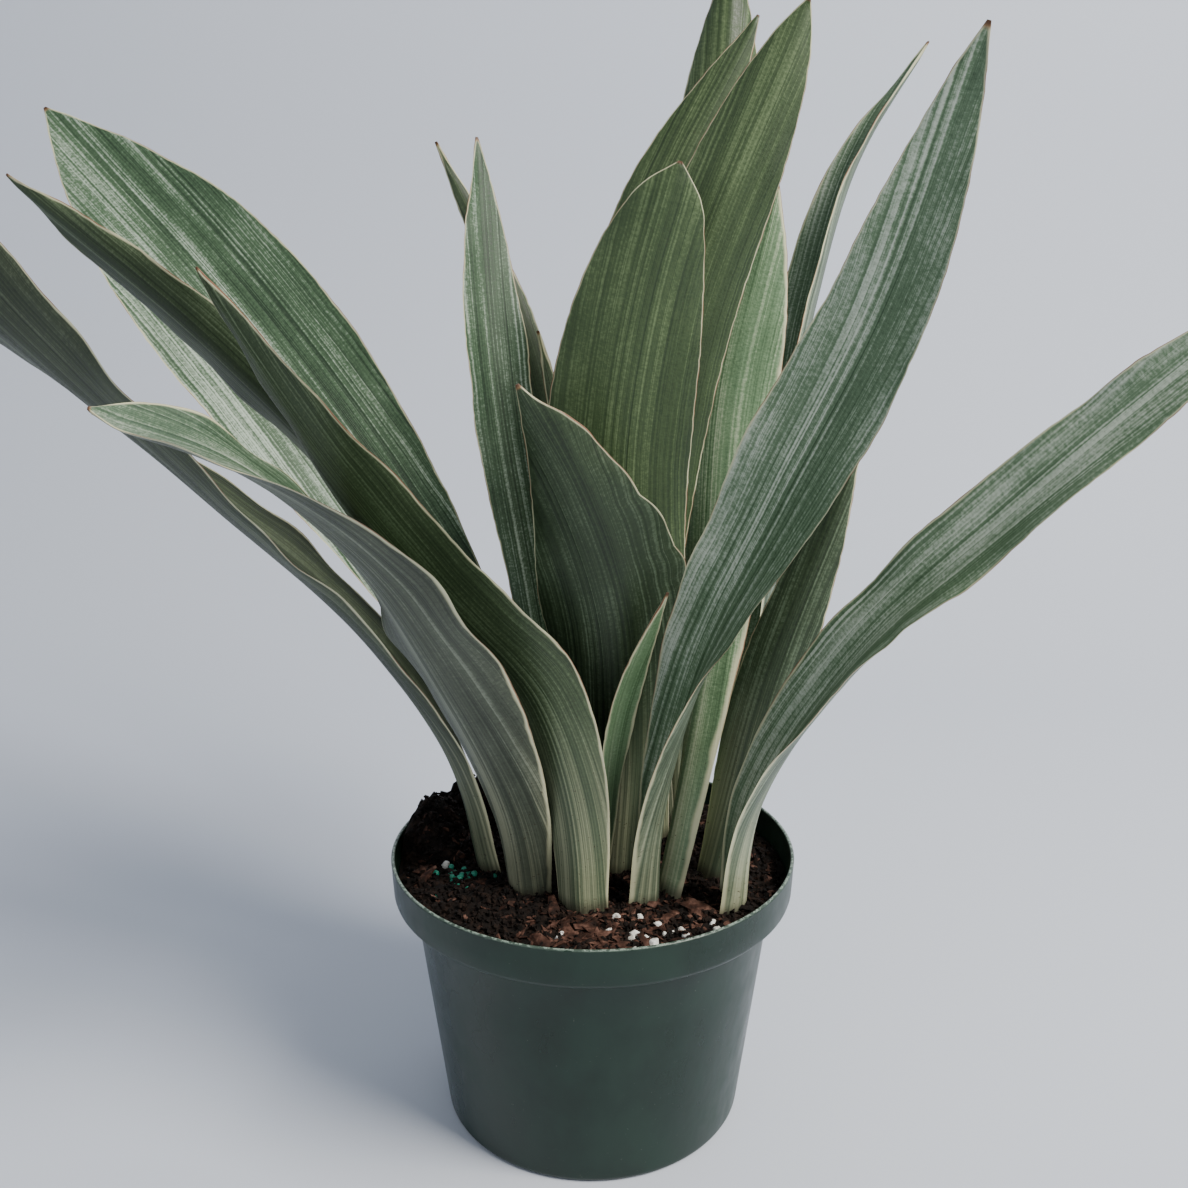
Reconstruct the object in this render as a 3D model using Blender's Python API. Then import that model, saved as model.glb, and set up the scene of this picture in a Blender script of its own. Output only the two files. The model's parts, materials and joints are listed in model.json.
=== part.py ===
"""Potted snake plant: nursery pot, potting mix and nineteen separate leaves.

Metres, +Z up. The origin is the middle of the pot's underside. The pot stands on z = 0,
-Y is the front of the plant and +X its right-hand side.
"""

import math
from typing import NamedTuple

import bmesh
import bpy
import numpy as np
from mathutils import Vector

MM = 0.001

# Nursery pot, a thin injection-moulded shell (metres)
RIM_RADIUS = 0.077
POT_HEIGHT = 0.106
LIP_HEIGHT = 0.0145
LIP_DRAFT = 0.0006
LEDGE_WIDTH = 0.0082
LEDGE_DROP = 0.0022
FOOT_RADIUS = 0.0583
FOOT_ROUND = 0.0025
WALL = 0.0013
FLOOR = 0.0018
POT_SEGMENTS = 60
DRAIN_HOLES = 8
DRAIN_RADIUS = 0.0045
DRAIN_INSET = 0.0153

# Potting mix
CLEARANCE = 0.0003
MIX_BELOW_RIM = 0.009
MIX_EDGE_DROP = 0.0015
CLUMP_AZIMUTH = 150.0
CLUMP_SPREAD = 30.0
CLUMP_HEIGHT = 0.0155
MIX_RINGS = 7
MIX_SEGMENTS = 60

# Leaves, drawn for a pot of the first radius and grown or shrunk with the pot
DRAWN_RIM_RADIUS = 0.077
LEAF_THICKNESS = 0.0026
LEAF_TIP_THICKNESS = 0.0009
LEAF_RINGS = 20
ROOT_DEPTH = 0.013
SOCKET_GAP = 0.001
SOCKET_RISE = 0.025


class Leaf(NamedTuple):
    """A leaf, in millimetres and degrees.

    facing is the azimuth that its back, or lower face, looks towards before it rolls. neck
    is half its width where it leaves the mix, broad the greatest half width and peak how far
    along that falls. blunt shapes the tip, from 1.4 drawn out to 3 rounded. roll turns the
    blade about its own run at the root, the middle and the tip. fold is the midrib's depth
    over the half width, in the channelled neck and in the blade.
    path is where the leaf's middle goes, from the mix to the tip, with z from the mix.
    ending rounds the very tip: 1 comes to a point and 0.5 is a half round.
    """

    name: str
    facing: float
    colour: tuple
    neck: float
    broad: float
    peak: float
    blunt: float
    roll: tuple
    fold: tuple
    path: tuple
    ending: float = 1.0


SILVER = (0.335, 0.400, 0.350)
GREEN = (0.150, 0.215, 0.160)
OLIVE = (0.110, 0.150, 0.105)
PALE = (0.270, 0.330, 0.235)

LEAVES = (
    Leaf("leaf_left_low", facing=180, colour=GREEN, neck=9, broad=25, peak=0.72, blunt=3,
         roll=(20, 10, 78), fold=(0.65, 0.4),
         path=((-37, 0, 0), (-46, 0, 42), (-76, -2, 95), (-129, -8, 151), (-184, -22, 206),
               (-241, -28, 262))),
    Leaf("leaf_left_broad", facing=150, colour=SILVER, neck=10, broad=36, peak=0.66, blunt=2.2,
         roll=(-15, -32, -46), fold=(0.65, 0.32),
         path=((-18, 22, 0), (-38, 28, 57), (-88, 52, 136), (-148, 78, 210), (-230, 112, 290))),
    Leaf("leaf_left_pointed", facing=172, colour=GREEN, neck=9, broad=15, peak=0.5, blunt=3,
         roll=(28, 55, 64), fold=(0.65, 0.4),
         path=((-18, 4, 0), (-35, 1, 68), (-70, 2, 134), (-131, 15, 196), (-210, 30, 256))),
    Leaf("leaf_left_wavy", facing=225, colour=SILVER, neck=9, broad=27, peak=0.55, blunt=2,
         roll=(18, 0, -30), fold=(0.65, 0.35),
         path=((-23, -18, 0), (-25, -22, 28), (-45, -37, 92), (-70, -50, 138), (-106, -68, 171),
               (-142, -82, 184)), ending=0.6),
    Leaf("leaf_left_front", facing=225, colour=GREEN, neck=9, broad=21, peak=0.5, blunt=2,
         roll=(30, 12, 0), fold=(0.65, 0.25),
         path=((-3, -31, 0), (-5, -28, 35), (-19, -26, 83), (-49, -28, 120), (-84, -30, 164),
               (-127, -24, 223))),
    Leaf("leaf_back_narrow", facing=115, colour=SILVER, neck=7, broad=14, peak=0.66, blunt=2.2,
         roll=(0, 5, 10), fold=(0.65, 0.4),
         path=((-7, 38, 0), (-22, 49, 91), (-35, 65, 165), (-47, 92, 276))),
    Leaf("leaf_back_crossing", facing=-80, colour=GREEN, neck=6, broad=9, peak=0.4, blunt=3,
         roll=(-8, -17, -10), fold=(0.65, 0.4),
         path=((3, 49, 0), (-6, 72, 87), (-34, 102, 207), (-67, 118, 277))),
    Leaf("leaf_back_short", facing=-75, colour=GREEN, neck=6, broad=8, peak=0.45, blunt=2,
         roll=(-8, -9, -9), fold=(0.65, 0.4),
         path=((14, 44, 0), (3, 55, 91), (-22, 66, 200))),
    Leaf("leaf_front_short", facing=-95, colour=OLIVE, neck=8, broad=26, peak=0.62, blunt=1.4,
         roll=(5, 7, 0), fold=(0.65, 0.25),
         path=((9, -2, 0), (11, -8, 63), (7, -19, 115), (-6, -31, 154), (-24, -38, 187))),
    Leaf("leaf_centre_tall", facing=-85, colour=OLIVE, neck=9, broad=26, peak=0.64, blunt=2.2,
         roll=(-5, -5, -3), fold=(0.65, 0.25),
         path=((13, 12, 0), (12, 6, 91), (9, 6, 160), (17, 2, 214), (29, -5, 257)), ending=0.6),
    Leaf("leaf_centre_right", facing=-65, colour=OLIVE, neck=8, broad=18, peak=0.66, blunt=2.5,
         roll=(-25, -29, -29), fold=(0.65, 0.28),
         path=((23, 25, 0), (20, 22, 117), (31, 19, 200), (73, 18, 311)), ending=0.75),
    Leaf("leaf_centre_back", facing=-80, colour=GREEN, neck=8, broad=19, peak=0.6, blunt=2.5,
         roll=(-10, -11, -15), fold=(0.65, 0.28),
         path=((26, 38, 0), (14, 52, 149), (21, 62, 227), (63, 72, 317))),
    Leaf("leaf_centre_folded", facing=-70, colour=PALE, neck=6, broad=19, peak=0.72, blunt=2,
         roll=(-20, -20, -20), fold=(0.65, 0.85),
         path=((35, 47, 0), (37, 74, 151), (50, 92, 261), (57, 105, 350))),
    Leaf("leaf_right_upright", facing=235, colour=PALE, neck=8, broad=18, peak=0.7, blunt=2.2,
         roll=(-60, 0, 35), fold=(1.0, 0.2),
         path=((33, -20, 0), (36, -18, 20), (47, 8, 95), (52, 29, 180), (67, 33, 253))),
    Leaf("leaf_right_broad", facing=-15, colour=SILVER, neck=7, broad=21, peak=0.56, blunt=1.7,
         roll=(-5, 48, 80), fold=(1.3, 0.35),
         path=((14, -26, 0), (15, -28, 30), (29, -39, 96), (54, -52, 151), (81, -63, 207),
               (105, -76, 285)), ending=0.8),
    Leaf("leaf_right_folded", facing=20, colour=SILVER, neck=7, broad=13, peak=0.65, blunt=1.7,
         roll=(-5, -5, 0), fold=(0.65, 1.0),
         path=((47, 17, 0), (65, 38, 115), (78, 66, 209), (102, 86, 270), (135, 98, 313))),
    Leaf("leaf_right_low", facing=-20, colour=SILVER, neck=8, broad=14, peak=0.45, blunt=3,
         roll=(12, 36, 68), fold=(1.15, 0.45),
         path=((45, -31, 0), (48, -34, 35), (77, -52, 101), (124, -72, 156), (194, -96, 226))),
    Leaf("leaf_right_dark", facing=-60, colour=OLIVE, neck=7, broad=12, peak=0.5, blunt=2,
         roll=(-33, -45, -46), fold=(0.65, 0.4),
         path=((47, -8, 0), (65, -6, 76), (94, -2, 159))),
    Leaf("leaf_front_young", facing=200, colour=PALE, neck=4, broad=7, peak=0.6, blunt=2,
         roll=(-35, -62, -66), fold=(0.65, 0.4),
         path=((5, -16, 0), (12, -31, 77), (25, -40, 119))),
)


def spline(knots, values, at):
    """Catmull-Rom interpolation over uneven knots, one column of values at a time."""
    slopes = np.gradient(values, knots, axis=0)
    index = np.clip(np.searchsorted(knots, at, side="right") - 1, 0, len(knots) - 2)
    step = (knots[index + 1] - knots[index])[:, None]
    t = (at - knots[index])[:, None] / step
    return (
        (2 * t**3 - 3 * t**2 + 1) * values[index]
        + (t**3 - 2 * t**2 + t) * step * slopes[index]
        + (3 * t**2 - 2 * t**3) * values[index + 1]
        + (t**3 - t**2) * step * slopes[index + 1]
    )


def leaf_path(leaf):
    """The leaf's path in metres, carried straight on from the mix down to the buried end."""
    points = np.array(leaf.path, float)
    start = (points[1] - points[0]) / (points[1] - points[0])[2]
    buried = points[0] - start * ROOT_DEPTH / MM
    points = np.vstack([buried, points]) * MM * RIM_RADIUS / DRAWN_RIM_RADIUS
    points[:, 2] += POT_HEIGHT - MIX_BELOW_RIM
    return points


def half_width(leaf, along):
    """Half the leaf's width: a narrow neck that swells to the broadest place, then the tip."""
    rise = np.clip(along / leaf.peak, 0, 1)
    fall = np.clip((along - leaf.peak) / (1 - leaf.peak), 0, 1)
    swell = leaf.neck + (leaf.broad - leaf.neck) * rise**2 * (3 - 2 * rise)
    return swell * (1 - fall**leaf.blunt) ** leaf.ending


def leaf_frames(leaf, fractions):
    """The middle, run, width and upper-face directions, half width and cup at each fraction."""
    points = leaf_path(leaf)
    knots = np.concatenate([[0], np.cumsum(np.linalg.norm(np.diff(points, axis=0), axis=1))])
    at = fractions * knots[-1]
    middle = spline(knots, points, at)
    ahead = spline(knots, points, np.minimum(at + 1e-4, knots[-1]))
    behind = spline(knots, points, np.maximum(at - 1e-4, 0))
    run = ahead - behind
    run /= np.linalg.norm(run, axis=1)[:, None]
    side = math.radians(leaf.facing + 90)
    hint = np.array([math.cos(side), math.sin(side), 0])
    level = hint - run * (run @ hint)[:, None]
    level /= np.linalg.norm(level, axis=1)[:, None]
    above = np.cross(run, level)
    turns = np.array(leaf.roll, float)[:, None]
    roll = np.radians(spline(np.array([0, 0.5, 1]), turns, fractions))
    width = np.cos(roll) * level + np.sin(roll) * above
    upper = np.cross(run, width)
    growth = MM * RIM_RADIUS / DRAWN_RIM_RADIUS
    half = np.maximum(half_width(leaf, fractions) * growth, 0.0006)
    neck_fold, blade_fold = leaf.fold
    fold = blade_fold + (neck_fold - blade_fold) * (1 - fractions) ** 3
    cup = half * fold * (1 - 0.4 * fractions)
    return middle, run, width, upper, half, cup


def section(half, cup, thick):
    """Eight points of a leaf's cross-section, across and up: margin, upper face, margin, lower face."""
    points = []
    for t in (-1, -0.55, 0, 0.55, 1):
        points.append((t * half, -cup * (1 - abs(t) ** 1.6)))
    for t in (0.55, 0, -0.55):
        under = thick if t == 0 else thick * 0.8
        points.append((t * half, -cup * (1 - abs(t) ** 1.6) - under))
    return np.array(points)


def grown(outline, gap):
    """The outline moved outwards by the gap, with its sharp corners cut back to three gaps."""
    before = outline - np.roll(outline, 1, axis=0)
    after = np.roll(outline, -1, axis=0) - outline
    normals = []
    for edge in (before, after):
        normal = np.stack([-edge[:, 1], edge[:, 0]], axis=1)
        normals.append(normal / np.linalg.norm(normal, axis=1)[:, None])
    corner = normals[0] + normals[1]
    corner /= np.linalg.norm(corner, axis=1)[:, None]
    reach = gap / np.maximum((corner * normals[1]).sum(axis=1), 1 / 3)
    return outline + corner * reach[:, None]


def leaf_rings(leaf, fractions, grow=0.0):
    """The leaf's cross-sections in space, each of eight points."""
    middle, _, width, upper, half, cup = leaf_frames(leaf, fractions)
    rings = []
    for i, fraction in enumerate(fractions):
        thick = LEAF_THICKNESS + (LEAF_TIP_THICKNESS - LEAF_THICKNESS) * fraction**2
        outline = section(half[i], cup[i], min(thick, half[i] * 0.9))
        if grow:
            outline = grown(outline, grow)
        rings.append([middle[i] + a * width[i] + b * upper[i] for a, b in outline])
    return rings


def mesh_object(name, points, faces, colour, roughness, smooth=40.0):
    """A mesh object with its own Principled material, shaded smooth below the given angle."""
    mesh = bpy.data.meshes.new(name)
    mesh.from_pydata([tuple(p) for p in points], [], faces)
    mesh.validate()
    work = bmesh.new()
    work.from_mesh(mesh)
    bmesh.ops.recalc_face_normals(work, faces=work.faces[:])
    work.to_mesh(mesh)
    work.free()
    mesh.shade_smooth()
    mesh.set_sharp_from_angle(angle=math.radians(smooth))
    obj = bpy.data.objects.new(name, mesh)
    bpy.context.scene.collection.objects.link(obj)
    material = bpy.data.materials.new(name)
    material.use_nodes = True
    shader = material.node_tree.nodes["Principled BSDF"]
    shader.inputs["Base Color"].default_value = (*colour, 1)
    shader.inputs["Roughness"].default_value = roughness
    shader.inputs["Metallic"].default_value = 0.0
    mesh.materials.append(material)
    return obj


def tube(rings):
    """Points and faces of closed rings joined end to end, with both ends filled."""
    count = len(rings[0])
    points = [p for ring in rings for p in ring]
    faces = []
    for i in range(len(rings) - 1):
        for j in range(count):
            k = (j + 1) % count
            low = i * count
            high = low + count
            faces.append((low + j, low + k, high + k))
            faces.append((low + j, high + k, high + j))
    last = (len(rings) - 1) * count
    faces.append(tuple(reversed(range(count))))
    faces.append(tuple(range(last, last + count)))
    return points, faces


def subtract(target, cutter):
    """Cuts the cutter out of the target with an exact Boolean and hides the cutter."""
    cutter.hide_render = True
    cutter.display_type = "WIRE"
    cut = target.modifiers.new(cutter.name, "BOOLEAN")
    cut.operation = "DIFFERENCE"
    cut.solver = "EXACT"
    cut.object = cutter


def ring_fractions():
    """Where a leaf's rings lie along its length, closer together near the tip."""
    return 1 - (1 - np.linspace(0, 1, LEAF_RINGS)) ** 1.15


def build_leaf(leaf):
    """The leaf's solid, one closed tube of eight-sided rings."""
    points, faces = tube(leaf_rings(leaf, ring_fractions()))
    return mesh_object(leaf.name, points, faces, leaf.colour, 0.45)


def build_socket(leaf):
    """A cutter a little larger than the buried end of the leaf."""
    fractions = ring_fractions()
    middle, run, *_ = leaf_frames(leaf, fractions)
    level = POT_HEIGHT - MIX_BELOW_RIM
    top = np.flatnonzero(middle[:, 2] < level + SOCKET_RISE)[-1] + 1
    rings = leaf_rings(leaf, fractions[:top + 1], SOCKET_GAP)
    rings[0] = [p - run[0] * SOCKET_GAP for p in rings[0]]
    points, faces = tube(rings)
    return mesh_object("socket_" + leaf.name, points, faces, leaf.colour, 0.5)


def inner_profile():
    """Radius and height of the pot's inside, from the floor's edge up to the rim."""
    ledge = POT_HEIGHT - LIP_HEIGHT
    return (
        (FOOT_RADIUS - WALL - FOOT_ROUND, FLOOR),
        (FOOT_RADIUS - WALL, FLOOR + FOOT_ROUND * 0.8),
        (RIM_RADIUS - LEDGE_WIDTH - WALL, ledge - LEDGE_DROP + WALL),
        (RIM_RADIUS - LIP_DRAFT - WALL - 0.0010, ledge + WALL - 0.0004),
        (RIM_RADIUS - LIP_DRAFT - WALL, ledge + WALL + 0.0008),
        (RIM_RADIUS - WALL, POT_HEIGHT - 0.0006),
    )


def inner_radius(height):
    """The inside radius of the pot at a height."""
    radii, heights = zip(*inner_profile())
    return float(np.interp(height, heights, radii))


def build_pot():
    """The pot's shell, turned from one closed profile, with drain holes through its floor."""
    ledge = POT_HEIGHT - LIP_HEIGHT
    outer = [
        (0, 0),
        (FOOT_RADIUS - FOOT_ROUND, 0),
        (FOOT_RADIUS - FOOT_ROUND * 0.25, FOOT_ROUND * 0.3),
        (FOOT_RADIUS, FOOT_ROUND),
        (RIM_RADIUS - LEDGE_WIDTH, ledge - LEDGE_DROP),
        (RIM_RADIUS - LIP_DRAFT - 0.0020, ledge - LEDGE_DROP * 0.45),
        (RIM_RADIUS - LIP_DRAFT, ledge + 0.0012),
        (RIM_RADIUS, POT_HEIGHT - 0.0008),
        (RIM_RADIUS - 0.0005, POT_HEIGHT),
        (RIM_RADIUS - WALL + 0.0004, POT_HEIGHT),
    ]
    inner = [*inner_profile()[::-1], (0, FLOOR)]
    profile = outer + inner
    points = []
    faces = []
    index = []
    for radius, height in profile:
        if radius == 0:
            index.append([len(points)] * POT_SEGMENTS)
            points.append((0, 0, height))
            continue
        index.append(list(range(len(points), len(points) + POT_SEGMENTS)))
        for k in range(POT_SEGMENTS):
            turn = 2 * math.pi * k / POT_SEGMENTS
            points.append((radius * math.cos(turn), radius * math.sin(turn), height))
    for low, high in zip(index, index[1:]):
        for k in range(POT_SEGMENTS):
            n = (k + 1) % POT_SEGMENTS
            corners = list(dict.fromkeys((low[k], low[n], high[n], high[k])))
            faces.append(tuple(corners))
    pot = mesh_object("nursery_pot", points, faces, (0.028, 0.065, 0.052), 0.38, 35.0)
    circle = FOOT_RADIUS - DRAIN_INSET
    for k in range(DRAIN_HOLES):
        turn = 2 * math.pi * (k + 0.5) / DRAIN_HOLES
        rings = []
        for height in (-0.002, FLOOR + 0.002):
            ring = []
            for j in range(12):
                bend = 2 * math.pi * j / 12
                ring.append((
                    circle * math.cos(turn) + DRAIN_RADIUS * math.cos(bend),
                    circle * math.sin(turn) + DRAIN_RADIUS * math.sin(bend),
                    height,
                ))
            rings.append(ring)
        cutter_points, cutter_faces = tube(rings)
        subtract(pot, mesh_object(f"drain_{k}", cutter_points, cutter_faces, (0, 0, 0), 0.5))
    return pot


def mix_height(radius, turn):
    """Height of the potting mix's top: level, a little uneven, banked up at the clump."""
    reach = radius / RIM_RADIUS
    height = POT_HEIGHT - MIX_BELOW_RIM - MIX_EDGE_DROP * reach**4
    height += 0.0009 * math.sin(3 * turn + 5 * reach) * reach + 0.0006 * math.sin(7 * turn) * reach
    away = (math.degrees(turn) - CLUMP_AZIMUTH + 180) % 360 - 180
    along = max(0.0, 1 - (away / CLUMP_SPREAD) ** 2)
    inward = min(1.0, max(0.0, (reach - 0.55) / 0.28))
    ragged = 1 + 0.16 * math.sin(11 * turn + 1.0) + 0.10 * math.sin(19 * turn)
    return height + CLUMP_HEIGHT * along**0.7 * inward**1.5 * ragged


def build_mix(leaves):
    """The potting mix: the pot's inside less the clearance, an uneven top, and leaf sockets."""
    edge_height = POT_HEIGHT - MIX_BELOW_RIM - MIX_EDGE_DROP - 0.0015
    wall = [(r, z) for r, z in inner_profile() if z + CLEARANCE < edge_height - 0.0001]
    edge = inner_radius(edge_height - CLEARANCE) - CLEARANCE
    points = [(0, 0, FLOOR + CLEARANCE)]
    rings = []
    for radius, height in wall:
        rings.append([(radius - CLEARANCE, height + CLEARANCE)] * MIX_SEGMENTS)
    rings.append([(edge, edge_height)] * MIX_SEGMENTS)
    turns = [2 * math.pi * k / MIX_SEGMENTS for k in range(MIX_SEGMENTS)]
    for j in range(MIX_RINGS, 0, -1):
        radius = (edge - 0.0002) * (j / MIX_RINGS) ** 0.85
        rings.append([(radius, mix_height(radius, turn)) for turn in turns])
    for ring in rings:
        for turn, (radius, height) in zip(turns, ring):
            points.append((radius * math.cos(turn), radius * math.sin(turn), height))
    points.append((0, 0, mix_height(0, 0)))
    faces = []
    for k in range(MIX_SEGMENTS):
        n = (k + 1) % MIX_SEGMENTS
        faces.append((0, 1 + n, 1 + k))
        for j in range(len(rings) - 1):
            low = 1 + j * MIX_SEGMENTS
            high = low + MIX_SEGMENTS
            faces.append((low + k, low + n, high + n, high + k))
        high = 1 + (len(rings) - 1) * MIX_SEGMENTS
        faces.append((high + k, high + n, len(points) - 1))
    mix = mesh_object("potting_mix", points, faces, (0.022, 0.013, 0.009), 0.95)
    for leaf in leaves:
        subtract(mix, build_socket(leaf))
    return mix


def main():
    for obj in list(bpy.data.objects):
        bpy.data.objects.remove(obj)
    plant = bpy.data.objects.new("plant", None)
    bpy.context.scene.collection.objects.link(plant)
    pieces = [build_pot(), build_mix(LEAVES)]
    pieces += [build_leaf(leaf) for leaf in LEAVES]
    for piece in pieces:
        piece.parent = plant
    plant.location = Vector((0, 0, 0))


main()
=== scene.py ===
"""Potted snake plant: the visible plant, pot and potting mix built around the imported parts.

Metres, +Z up, the middle of the pot's underside at the origin and -Y the plant's front.
Every leaf skin takes its run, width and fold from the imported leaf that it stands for.
"""

import json
import logging
import math
from collections import defaultdict
from dataclasses import dataclass
from enum import Enum

import bmesh
import bpy
import numpy as np
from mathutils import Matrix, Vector
from mathutils.bvhtree import BVHTree

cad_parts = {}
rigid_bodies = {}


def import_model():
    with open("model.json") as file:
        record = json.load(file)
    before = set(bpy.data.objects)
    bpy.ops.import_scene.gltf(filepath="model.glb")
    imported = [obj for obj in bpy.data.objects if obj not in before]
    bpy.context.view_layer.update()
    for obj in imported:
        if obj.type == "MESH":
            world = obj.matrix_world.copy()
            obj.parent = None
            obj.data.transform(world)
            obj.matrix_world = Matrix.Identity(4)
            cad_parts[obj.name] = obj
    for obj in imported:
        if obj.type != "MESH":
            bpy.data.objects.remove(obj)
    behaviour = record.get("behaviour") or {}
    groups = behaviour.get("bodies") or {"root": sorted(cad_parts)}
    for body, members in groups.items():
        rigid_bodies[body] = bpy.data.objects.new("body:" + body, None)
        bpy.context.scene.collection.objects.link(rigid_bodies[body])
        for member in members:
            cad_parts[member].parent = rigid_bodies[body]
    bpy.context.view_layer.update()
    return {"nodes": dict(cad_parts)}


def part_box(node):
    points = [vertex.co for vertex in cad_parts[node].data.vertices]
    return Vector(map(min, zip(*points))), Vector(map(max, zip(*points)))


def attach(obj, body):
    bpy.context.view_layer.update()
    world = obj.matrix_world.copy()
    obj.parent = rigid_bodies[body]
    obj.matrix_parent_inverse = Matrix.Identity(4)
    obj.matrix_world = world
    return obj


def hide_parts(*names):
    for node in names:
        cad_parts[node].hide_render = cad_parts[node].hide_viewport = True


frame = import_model()

LOG = logging.getLogger("snake_plant")
MM = 0.001
BODY = "root"
BAND_HEIGHT = 14.5 * MM
MIX_BELOW_RIM = 9 * MM
RING_POINTS = 8
TINY = 1e-9

Socket = bpy.types.NodeSocket
Node = bpy.types.Node
Object = bpy.types.Object
Material = bpy.types.Material
Value = Socket | float
Colour = Socket | str


# ---------------------------------------------------------------- colours and nodes


def srgb(text: str) -> tuple[float, float, float, float]:
    """Turns an sRGB hex colour to linear.

    Args:
        text: Six hex digits after a hash.

    Returns:
        Linear red, green, blue and an alpha of one.
    """
    parts = [int(text[i:i + 2], 16) / 255 for i in (1, 3, 5)]
    linear = [p / 12.92 if p <= 0.04045 else ((p + 0.055) / 1.055) ** 2.4 for p in parts]
    return (linear[0], linear[1], linear[2], 1.0)


def put(tree: bpy.types.NodeTree, socket: Socket, value: object) -> None:
    """Feeds an input, by a link from an output or with a value of its own.

    Args:
        tree: The node tree that the input is in.
        socket: The input.
        value: An output socket, or the value.
    """
    if isinstance(value, Socket):
        tree.links.new(value, socket)
    else:
        socket.default_value = value


def add(tree: bpy.types.NodeTree, kind: str, inputs: dict | None = None, **settings: object) -> Node:
    """Adds a node with its settings and what feeds its inputs.

    Args:
        tree: The node tree to add to.
        kind: The node's type name.
        inputs: Values or output sockets by input name or index.
        **settings: Node properties.

    Returns:
        The new node.
    """
    node = tree.nodes.new(kind)
    for name, value in settings.items():
        setattr(node, name, value)
    for key, value in (inputs or {}).items():
        put(tree, node.inputs[key], value)
    return node


class Painter:
    """A material under construction, with short ways to the few nodes the finishes share."""

    def __init__(self, name: str) -> None:
        """Starts an empty material.

        Args:
            name: The material's name.
        """
        self.material = bpy.data.materials.new(name)
        self.material.use_nodes = True
        self.tree = self.material.node_tree
        self.shader = self.tree.nodes["Principled BSDF"]

    def add(self, kind: str, inputs: dict | None = None, **settings: object) -> Node:
        """Adds one node to this material's tree."""
        return add(self.tree, kind, inputs, **settings)

    def place(self) -> Socket:
        """Where a point lies in the object's own space, in metres."""
        return self.add("ShaderNodeTexCoord").outputs["Object"]

    def part(self, vector: Socket, axis: str) -> Socket:
        """A vector's share along one axis."""
        return self.add("ShaderNodeSeparateXYZ", {"Vector": vector}).outputs[axis]

    def attribute(self, name: str, vector: bool = False) -> Socket:
        """The output of a mesh attribute, as a vector or a number."""
        node = self.add("ShaderNodeAttribute", attribute_name=name)
        return node.outputs["Vector" if vector else "Fac"]

    def noise(
        self, source: Socket, size: tuple, detail: float, rough: float, shift: tuple = (0, 0, 0)
    ) -> Socket:
        """A noise from 0 to 1.

        Args:
            source: The coordinates in metres.
            size: A feature's size along each axis in metres.
            detail: How many finer layers it has.
            rough: How strong each finer layer is.
            shift: How far the pattern is moved, in units of the features.

        Returns:
            The noise.
        """
        scale = tuple(1 / s for s in size)
        mapping = {"Vector": source, "Scale": scale, "Location": shift}
        where = self.add("ShaderNodeMapping", mapping).outputs["Vector"]
        inputs = {"Vector": where, "Scale": 1.0, "Detail": detail, "Roughness": rough}
        return self.add("ShaderNodeTexNoise", inputs).outputs["Fac"]

    def maths(self, kind: str, a: Value, b: Value) -> Socket:
        """One sum of two numbers or sockets."""
        return self.add("ShaderNodeMath", {0: a, 1: b}, operation=kind).outputs["Value"]

    def times(self, a: Value, b: Value) -> Socket:
        """The product of two numbers or sockets."""
        return self.maths("MULTIPLY", a, b)

    def weighed(self, *terms: tuple[Socket, float]) -> Socket:
        """Adds up sockets by their weights.

        Args:
            *terms: Pairs of a socket and its weight.

        Returns:
            The sum.
        """
        total = self.times(*terms[0])
        for socket, weight in terms[1:]:
            total = self.maths("ADD", total, self.times(socket, weight))
        return total

    def span(
        self, value: Value, low: float, high: float, to_low: float = 0.0, to_high: float = 1.0
    ) -> Socket:
        """The value taken from one span to another, smoothly and held at the ends."""
        inputs = {"Value": value, "From Min": low, "From Max": high, "To Min": to_low, "To Max": to_high}
        return self.add("ShaderNodeMapRange", inputs, interpolation_type="SMOOTHSTEP").outputs["Result"]

    def blend(self, share: Value, first: Colour, second: Colour) -> Socket:
        """One colour, a socket or a hex, laid over another by a share from 0 to 1."""
        low, high = (srgb(c) if isinstance(c, str) else c for c in (first, second))
        return self.add("ShaderNodeMix", {0: share, 6: low, 7: high}, data_type="RGBA").outputs[2]

    def ramp(self, value: Socket, *stops: tuple[float, str]) -> Socket:
        """A colour ramp.

        Args:
            value: What is looked up in the ramp.
            *stops: Pairs of a place from 0 to 1 and a hex colour.

        Returns:
            The colour.
        """
        node = self.add("ShaderNodeValToRGB", {"Fac": value})
        bar = node.color_ramp
        while len(bar.elements) < len(stops):
            bar.elements.new(0.5)
        for element, (place, colour) in zip(bar.elements, stops):
            element.position = place
            element.color = srgb(colour)
        return node.outputs["Color"]

    def bump(self, height: Socket, deep: float, before: Socket | None = None) -> Socket:
        """A bump in the surface.

        Args:
            height: What the bump follows, from 0 to 1.
            deep: Its depth in metres.
            before: An earlier bump that it lies over.

        Returns:
            The normal.
        """
        inputs = {"Height": height, "Distance": deep, "Strength": 1.0}
        if before is not None:
            inputs["Normal"] = before
        return self.add("ShaderNodeBump", inputs).outputs["Normal"]

    def feed(self, **inputs: Value | tuple) -> None:
        """Feeds the shader's inputs, named with underscores for spaces."""
        for name, value in inputs.items():
            put(self.tree, self.shader.inputs[name.replace("_", " ")], value)


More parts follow.
